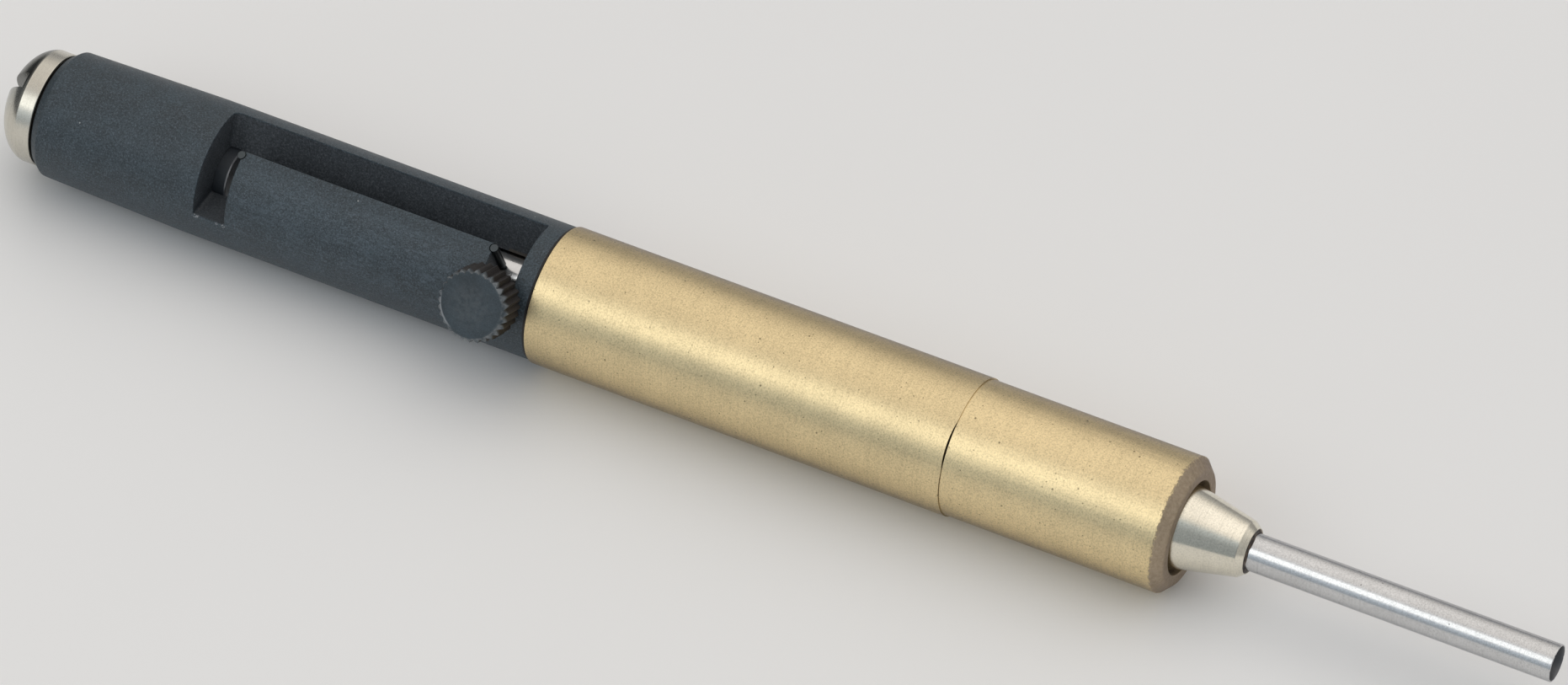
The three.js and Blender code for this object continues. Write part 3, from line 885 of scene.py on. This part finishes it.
def build_knob():
    """Slightly uneven straight knurling, with a chamfered face that stands a little off centre."""
    bm = bmesh.new()
    around = KNOB_TEETH * 8
    uneven = random.Random(7)
    teeth = [(1 + uneven.uniform(-0.1, 0.06), uneven.uniform(-0.06, 0.06)) for _ in range(KNOB_TEETH)]

    def knurl(angle):
        turn = angle / (2 * math.pi) * KNOB_TEETH
        height, shift = teeth[int(math.floor(turn)) % KNOB_TEETH]
        far = abs((turn % 1) - 0.5 - shift) * 2
        return KNOB_ROOT + (KNOB_TIP - KNOB_ROOT) * height * max(0.0, 1 - far)

    def off_centre(radius, angle):
        turn = angle - KNOB_OFF_WAY
        return KNOB_OFF * math.cos(turn) + math.sqrt(radius ** 2 - (KNOB_OFF * math.sin(turn)) ** 2)

    # Rings from the back to the front: height, largest radius, and whether the ring is off centre.
    back, front, face, beyond = KNOB_BACK, KNOB_FRONT, KNOB_FACE, 2 * KNOB_TIP
    rows = [(back, 1.6, False), (back, KNOB_ROOT - 0.35, False), (back + 0.02, KNOB_ROOT - 0.2, False)]
    rows += [(back + 0.1 * k, KNOB_ROOT - 0.2 + 0.16 * k, False) for k in range(1, 5)]
    rows += [(back + 0.55, beyond, False), (front - KNOB_CHAMFER - 0.35, beyond, False)]
    for k in range(7):
        rows.append((front - KNOB_CHAMFER * (1 - k / 7) + 0.01 * k, face + 0.8 * (1 - k / 7), True))
    rows += [(front - 0.02, face + 0.04, True), (front, face - 0.06, True)]
    rows += [(front - 0.01, face - 0.5, True), (front - 0.02, 1.2, True)]
    rings = []
    for z, limit, is_off in rows:
        row = []
        for i in range(around):
            angle = 2 * math.pi * i / around
            radius = min(knurl(angle), off_centre(limit, angle) if is_off else limit)
            row.append(bm.verts.new(Vector((radius * math.cos(angle), radius * math.sin(angle), z)) * MM))
        rings.append(row)
    skin(bm, rings, capped=True)
    bm.transform(knob_frame())
    finish_piece(bm, "bolt", "thumb_knob", "black_knob", sharp=28)


def build_stud():
    """The whole stud, from its hole in the rod to the knob."""
    bm = standing_pin(STUD_RADIUS, STUD_FOOT, KNOB_BACK - 0.05, (0.1, 0.05))
    bm.transform(knob_frame())
    finish_piece(bm, "bolt", "knob_stud", "stainless_steel")


# ------------------------------------------------------------------ turned pieces

BARREL_BORE, GASKET_BORE = 6.6, 7.1
NOSE_BORE, NOSE_LIP, NOSE_LIP_BORE = 5.6, 126.1, 5.1
NOSE_SPIGOT, NOSE_SHOULDER = 6.5, 109.6
NOSE_CHAMFER_LENGTH, NOSE_CHAMFER_DEPTH = 1.05, 1.1
CONE_PASSAGE, CONE_FLANGE, CONE_FLANGE_RADIUS = 1.4, 126.0, 5.5
CONE_BASE, CONE_BASE_RADIUS = 133.0, 4.68
CONE_EDGE, CONE_EDGE_RADIUS, CONE_MOUTH = 140.65, 3.04, 2.47
TUBE_BORE, TUBE_SEAT, SEALANT_RECESS = 1.75, 124.0, 2.38
WASHER_BORE, BUSH_BORE, GASKET_HOLE, RETAINER_BORE, SEAT_BORE = 3.3, 2.85, 6.58, 2.4, 3.1
NOZZLE_O_RING, PISTON_O_RING = (4.6, 0.6), (6.08, 0.4)     # radii of the ring's middle and of its section
PISTON_BORE, PISTON_GROOVE, PISTON_GROOVE_RADIUS = 1.6, (100.2, 101.2), 5.6
ROD_SHOULDER, ROD_TAIL, ROD_GROOVE, ROD_SOCKET_DEPTH = 98.3, 1.5, 1.1, 2.0


def barrel_wobble(x, r, lean):
    """The barrel's front edge meets the nose, but for a shallow crescent low on the front side."""
    if x > barrel.front - 0.25 and r > GASKET_BORE - 0.1:
        way = math.degrees(lean)
        low = max(0.0, 1 - ((way - 46) / 22) ** 2) * 0.2
        faint = max(0.0, 1 - ((way - 72) / 34) ** 2) * 0.04
        return NOSE_SHOULDER - x - max(low, faint), 0
    return 0, 0


def nose_wobble(x, r, lean):
    """The edge of the front chamfer is uneven, as if it had been knocked and filed."""
    edge = nose.front - NOSE_CHAMFER_LENGTH
    if abs(x - edge) < 0.25 and r > nose.radius - 0.3:
        spot = Vector((lean * 9, 3.1, 0))
        rough = noise.noise(spot) * 0.1 + noise.noise(spot * 3.3) * 0.07
        return rough, -abs(rough) * 0.25
    return 0, 0


def sealant_wobble(x, r, lean):
    """The sealant's front edge and rim wander, with one bigger lump."""
    if x > sealant.rear + 0.2:
        spot = Vector((math.sin(lean) * 2.4, math.cos(lean) * 2.4, 5.0))
        lump = max(0.0, 1 - abs(lean - 0.6) / 0.35)
        return noise.noise(spot) * 0.2 + lump * 0.12, noise.noise(spot * 2) * 0.04
    return 0, 0


def tip_wobble(x, r, lean):
    """Small nicks in the tube's thin front rim."""
    if x > tube.front - 0.04:
        nick = noise.noise(Vector((math.sin(lean) * 7, math.cos(lean) * 7, 2.0)))
        return -0.09 * max(0.0, nick - 0.15), 0
    return 0, 0


def build_barrel_and_nose():
    b, n = barrel, nose
    turned_piece("barrel", [
        (b.rear, BARREL_BORE, 0.1), (b.rear, b.radius, 0.04),
        (b.front, b.radius), (b.front, GASKET_BORE, 0.03),
        (gasket.rear - 0.05, GASKET_BORE), (gasket.rear - 0.05, BARREL_BORE),
    ], "body", "satin_gold_barrel", AROUND, barrel_wobble)
    turned_piece("nose_sleeve", [
        (n.rear, NOSE_BORE, 0.15), (n.rear, NOSE_SPIGOT, 0.2),
        (NOSE_SHOULDER, NOSE_SPIGOT), (NOSE_SHOULDER, n.radius),
        (n.front - NOSE_CHAMFER_LENGTH, n.radius, 0.06),
        (n.front, n.radius - NOSE_CHAMFER_DEPTH, 0.45), (n.front, NOSE_LIP_BORE, 0.12),
        (NOSE_LIP, NOSE_LIP_BORE), (NOSE_LIP, NOSE_BORE),
    ], "nose", "satin_gold_nose", 256, nose_wobble)


def build_nozzle():
    recess = sealant.rear - 0.1
    turned_piece("nozzle_cone", [
        (cone.rear, CONE_PASSAGE, 0.1), (cone.rear, CONE_FLANGE_RADIUS, 0.2),
        (CONE_FLANGE, CONE_FLANGE_RADIUS, 0.1), (CONE_FLANGE, CONE_BASE_RADIUS),
        (CONE_BASE, CONE_BASE_RADIUS, 1.0),
        (CONE_EDGE, CONE_EDGE_RADIUS, 0.05),
        (cone.front, CONE_MOUTH, 0.04), (cone.front, SEALANT_RECESS, 0.03),
        (recess, SEALANT_RECESS), (recess, tube.radius + 0.02),
        (TUBE_SEAT, tube.radius + 0.02), (TUBE_SEAT, CONE_PASSAGE),
    ], "nose", "nickel_cone", AROUND)
    turned_piece("nozzle_tube", [
        (tube.rear, TUBE_BORE, 0.05), (tube.rear, tube.radius, 0.08),
        (tube.front, tube.radius, 0.05), (tube.front, TUBE_BORE + 0.1, 0.02),
        (tube.front - 0.3, TUBE_BORE),
    ], "nose", "stainless_tube", AROUND, tip_wobble)
    turned_piece("tube_sealant", [
        (sealant.rear, tube.radius + 0.01), (sealant.rear, SEALANT_RECESS - 0.01),
        (cone.front - 0.02, SEALANT_RECESS - 0.01, 0.08),
        (cone.front + 0.22, tube.radius + 0.01, 0.04),
    ], "nose", "tube_sealant", AROUND, sealant_wobble)
    turned_piece("nozzle_o_ring", circle_profile(o_ring, *NOZZLE_O_RING), "nose", "black_rubber")
    turned_piece("nozzle_retainer", ring_profile(retainer, RETAINER_BORE, 0.15), "nose", "brass")


def build_fixed_rings():
    turned_piece("cap_washer", ring_profile(washer, WASHER_BORE, 0.05), "body", "dark_washer", AROUND)
    turned_piece("guide_liner", ring_profile(liner, LINER_BORE, 0.12), "body", "dark_liner", AROUND)
    turned_piece("buffer_pad", [
        (buffer.rear, 0), (buffer.rear, buffer.radius, 0.3),
        (buffer.front, buffer.radius, 0.5), (buffer.front, 0),
    ], "body", "black_rubber")
    turned_piece("rod_guide_bush", ring_profile(bush, BUSH_BORE, 0.15), "body", "brass")
    turned_piece("nose_gasket", ring_profile(gasket, GASKET_HOLE, 0.05), "body", "black_rubber", AROUND)


def build_piston():
    p, (groove_rear, groove_front) = piston, PISTON_GROOVE
    turned_piece("piston", [
        (p.rear, PISTON_BORE, 0.1), (p.rear, p.radius, 0.3),
        (groove_rear, p.radius, 0.08), (groove_rear, PISTON_GROOVE_RADIUS, 0.1),
        (groove_front, PISTON_GROOVE_RADIUS, 0.1), (groove_front, p.radius, 0.08),
        (p.front, p.radius, 0.3), (p.front, PISTON_BORE, 0.1),
    ], "plunger", "brass")
    turned_piece("piston_ring", circle_profile(ring, *PISTON_O_RING), "plunger", "black_rubber")
    turned_piece("spring_seat", ring_profile(seat, SEAT_BORE, 0.1), "plunger", "stainless_steel")


def build_rod():
    socket = pin.radius + 0.1
    bm = bmesh.new()
    add_open(bm, [
        (rod.rear, 0), (rod.rear, rod.radius, 0.35),
        (ROD_SHOULDER, rod.radius, 0.15), (ROD_SHOULDER, ROD_TAIL),
        (clip.rear - 0.05, ROD_TAIL), (clip.rear - 0.05, ROD_GROOVE),
        (clip.front + 0.05, ROD_GROOVE), (clip.front + 0.05, ROD_TAIL),
        (rod.front, ROD_TAIL, 0.2), (rod.front, socket),
        (rod.front - ROD_SOCKET_DEPTH, socket), (rod.front - ROD_SOCKET_DEPTH, 0),
    ], AROUND_SMALL)
    piece = finish_piece(bm, "bolt", "piston_rod", "stainless_steel")
    hole = bmesh.new()
    radius, depth = (STUD_RADIUS + 0.05) * MM, 6 * MM
    bmesh.ops.create_cone(hole, cap_ends=True, segments=32, radius1=radius, radius2=radius, depth=depth)
    hole.transform(knob_frame() @ Matrix.Translation((0, 0, STUD_FOOT * MM - 0.1 * MM + depth / 2)))
    cut(piece, hole)


def build_cleaning_pin():
    turned_piece("cleaning_pin", [
        (pin.rear, 0), (pin.rear, pin.radius, 0.05),
        (pin.front - 0.8, pin.radius, 0.5),
        (pin.front, 0.25, 0.1), (pin.front, 0),
    ], "bolt", "stainless_steel")


# ------------------------------------------------------------------ spring and clip

def build_spring():
    """A closed-end compression spring. It stretches between the body and the plunger."""
    bm = bmesh.new()
    wire, coil, turns = 0.45, 4.55, 8
    steps_per_turn, sides = 48, 12
    end_pitch = 2 * wire * 1.02
    middle_length = spring.length - 2 * wire - 2 * end_pitch
    rings = []
    for i in range(turns * steps_per_turn + 1):
        turn = i / steps_per_turn
        ends = min(turn, 1) + max(0, turn - (turns - 1))
        middle = min(max(turn - 1, 0), turns - 2) / (turns - 2)
        x = spring.rear + wire + ends * end_pitch + middle * middle_length
        angle = 2 * math.pi * turn
        out = Vector((0, math.cos(angle), math.sin(angle)))
        centre = Vector((x, 0, 0)) + out * coil
        ring_of_wire = []
        for k in range(sides):
            a = 2 * math.pi * k / sides
            offset = out * math.cos(a) + Vector((math.sin(a), 0, 0))
            ring_of_wire.append(bm.verts.new((centre + offset * wire) * MM))
        rings.append(ring_of_wire)
    skin(bm, rings, capped=True)
    piece = finish_piece(bm, None, "main_spring", "spring_steel", sharp=80)
    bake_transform(piece)


def build_clip():
    """A snap ring: a flat C with small ears beside its gap."""
    bm = bmesh.new()
    bore, outside = 1.2, 2.35
    half_gap = math.radians(17.5)
    steps = 48
    rows = []
    for i in range(steps + 1):
        angle = half_gap + (2 * math.pi - 2 * half_gap) * i / steps
        edge = outside + max(0, 1 - min(i, steps - i) / 5) * 0.25
        section = ((clip.rear, bore), (clip.rear, edge), (clip.front, edge), (clip.front, bore))
        rows.append([bm.verts.new(lean_point(x, radius, angle)) for x, radius in section])
    skin(bm, rows, capped=True)
    break_edges(finish_piece(bm, "bolt", "rod_clip", "spring_steel"), 0.04)


for build in (
    build_housing, build_notch_pins, build_cap, build_knob, build_stud, build_barrel_and_nose, build_nozzle,
    build_fixed_rings, build_piston, build_rod, build_cleaning_pin, build_spring, build_clip,
):
    build()


# ------------------------------------------------------------------ floor, light and camera

def build_floor():
    """A plain pale floor that the barrel lies on."""
    size, low = 3.0, (-barrel.radius - 0.1) * MM
    mesh = bpy.data.meshes.new("floor")
    corners = [(-size, -size, low), (size, -size, low), (size, size, low), (-size, size, low)]
    mesh.from_pydata(corners, [], [(0, 1, 2, 3)])
    piece = link("floor", mesh)
    look = Look("pale_floor", (0.9,) * 3, 0.0, 0.8)
    look.two_tone(look.noise(0.02, detail=2), (0.89,) * 3, (0.91,) * 3)
    piece.data.materials.append(look.material)


def add_soft_light(name, lean, distance, width, length, radiance, colour, back):
    """A rectangular light seen from the tool at a lean, with its long side along the tool.

    back is how far it stands behind the tool's middle, towards the rear end.
    """
    data = bpy.data.lights.new(name, "AREA")
    data.shape = "RECTANGLE"
    data.size, data.size_y = length, width
    data.energy = radiance * math.pi * length * width
    data.color = colour
    piece = link(name, data)
    way = lean_way(lean)
    side = Vector((1, 0, 0))
    piece.location = Vector((0.085 - back, 0, 0)) + way * distance
    piece.rotation_mode = "QUATERNION"
    piece.rotation_quaternion = Matrix((side, way.cross(side), way)).transposed().to_quaternion()
    piece.visible_camera = False


# How bright the soft light all round is at each lean, in degrees, and its tint: over the tool and
# ahead of it. The two ends are the plain light along the tool axis.
WARM, CLEAR, COOL = (1.0, 0.96, 0.92), (0.97, 0.97, 0.98), (0.83, 0.92, 1.0)
KEY_TINT = (0.96, 1.0, 0.98)
ROOM = [
    (-180, 0.3, CLEAR), (-90, 0.3, CLEAR), (-79, 0.38, CLEAR), (-71, 0.51, CLEAR), (-63, 0.64, WARM),
    (-55, 0.77, WARM), (-47, 0.9, WARM), (-39, 0.97, WARM), (-31, 1.03, WARM), (-15, 1.07, WARM),
    (0, 1.0, WARM), (12, 0.96, WARM), (28, 0.93, CLEAR), (48, 0.93, CLEAR), (56, 0.93, CLEAR),
    (64, 0.86, COOL), (72, 0.67, COOL), (80, 0.55, COOL), (88, 0.48, COOL), (96, 0.5, COOL),
    (180, 0.3, CLEAR),
]
FRONT_ROOM = [
    (-180, 0.3, CLEAR), (-90, 0.25, CLEAR), (-70, 0.45, CLEAR), (-50, 1.0, WARM), (-35, 1.25, WARM),
    (0, 1.2, WARM), (16, 1.05, WARM), (34, 0.62, COOL), (52, 0.38, COOL), (90, 0.36, COOL), (180, 0.3, CLEAR),
]
REAR_END, FRONT_END = (0.1, 0.105, 0.11), (0.45, 0.45, 0.45)


class Room(Nodes):
    """The world's nodes: soft light from all round that depends on the way one looks."""

    def __init__(self):
        self.world = bpy.data.worlds.new("studio")
        self.world.use_nodes = True
        super().__init__(self.world.node_tree)
        self.x, y, z = self.split(self.node("ShaderNodeTexCoord").outputs["Generated"])
        lean = self.math("ARCTAN2", self.times(y, -1.0), z)
        self.share = self.math("MULTIPLY_ADD", lean, 0.5 / math.pi, 0.5)

    def gradient(self, levels):
        """Colours by lean, at a third of their brightness."""
        ramp = self.node("ShaderNodeValToRGB", self.share)
        stops = ramp.color_ramp.elements
        for i, (lean, level, tint) in enumerate(levels):
            place = (lean + 180) / 360
            stop = stops[0] if i == 0 else stops[-1] if i == len(levels) - 1 else stops.new(place)
            stop.position = place
            stop.color = (*shade(tint, level / 3), 1)
        return ramp.outputs[0]

    def fade(self, low, high, one, two):
        """one where the way's x is below low and two above high."""
        return self.blend(self.ramp(self.x, low, high, kind="SMOOTHSTEP"), one, two)


def add_room_light():
    """Brightest overhead, dimmer at the sides, and dark behind the tool's rear end."""
    room = Room()
    colour = room.fade(-0.12, 0.05, room.gradient(ROOM), room.gradient(FRONT_ROOM))
    colour = room.fade(-0.72, -0.5, shade(REAR_END, 1 / 3), colour)
    colour = room.fade(0.5, 0.9, colour, shade(FRONT_END, 1 / 3))
    background = room.tree.nodes["Background"]
    background.inputs["Strength"].default_value = 3.0
    room.plug(colour, background.inputs["Color"])
    bpy.context.scene.world = room.world


def add_camera():
    data = bpy.data.cameras.new("camera")
    data.sensor_width, data.lens = 36.0, 226.2     # millimetres
    data.clip_start, data.clip_end = 0.05, 20
    piece = link("camera", data)
    azimuth, elevation, distance = math.radians(27.0), math.radians(46.1), 1.021
    level = math.cos(elevation)
    back = Vector((math.sin(azimuth) * level, -math.cos(azimuth) * level, math.sin(elevation)))
    right = Vector((math.cos(azimuth), math.sin(azimuth), 0))
    up = back.cross(right)
    aim = Vector((84.4, 7.5, -3.4)) * MM
    turned = Matrix((right, up, back)).transposed().to_4x4()
    piece.matrix_world = Matrix.Translation(aim + back * distance) @ turned
    bpy.context.scene.camera = piece


build_floor()
add_camera()
add_room_light()
add_soft_light(
    "key", lean=43, distance=1.25, width=0.62, length=1.1, radiance=0.9, colour=KEY_TINT, back=0.66)
bpy.context.scene.view_settings.view_transform = "Standard"
